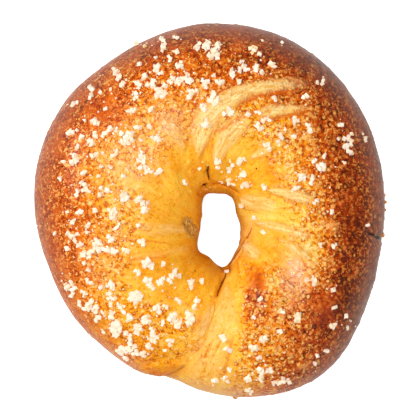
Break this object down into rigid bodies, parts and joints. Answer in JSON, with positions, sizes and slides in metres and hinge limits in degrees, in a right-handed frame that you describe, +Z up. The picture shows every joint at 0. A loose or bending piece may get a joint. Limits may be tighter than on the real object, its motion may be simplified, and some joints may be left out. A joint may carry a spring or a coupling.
{
  "type": "salt bagel",
  "caption": "Baked ring roll with a browned crust, an off-centre hole, a folded overlap and coarse salt on top.",
  "frame": {"origin": "middle of the footprint's box, on the surface that the bagel lies on", "axes": "+Z up out of the crown, +Y away from the overlap of the strip's ends, +X to the right of it"},
  "size_m": [0.1072, 0.1146, 0.0382],
  "materials": {
    "crust": "baked bread crust, golden near the hole and red-brown at the rim, satin with fine blisters",
    "salt": "coarse white salt grains, slightly translucent"
  },
  "bodies": {
    "root": {"bread_ring": "crust"}
  },
  "joints": []
}
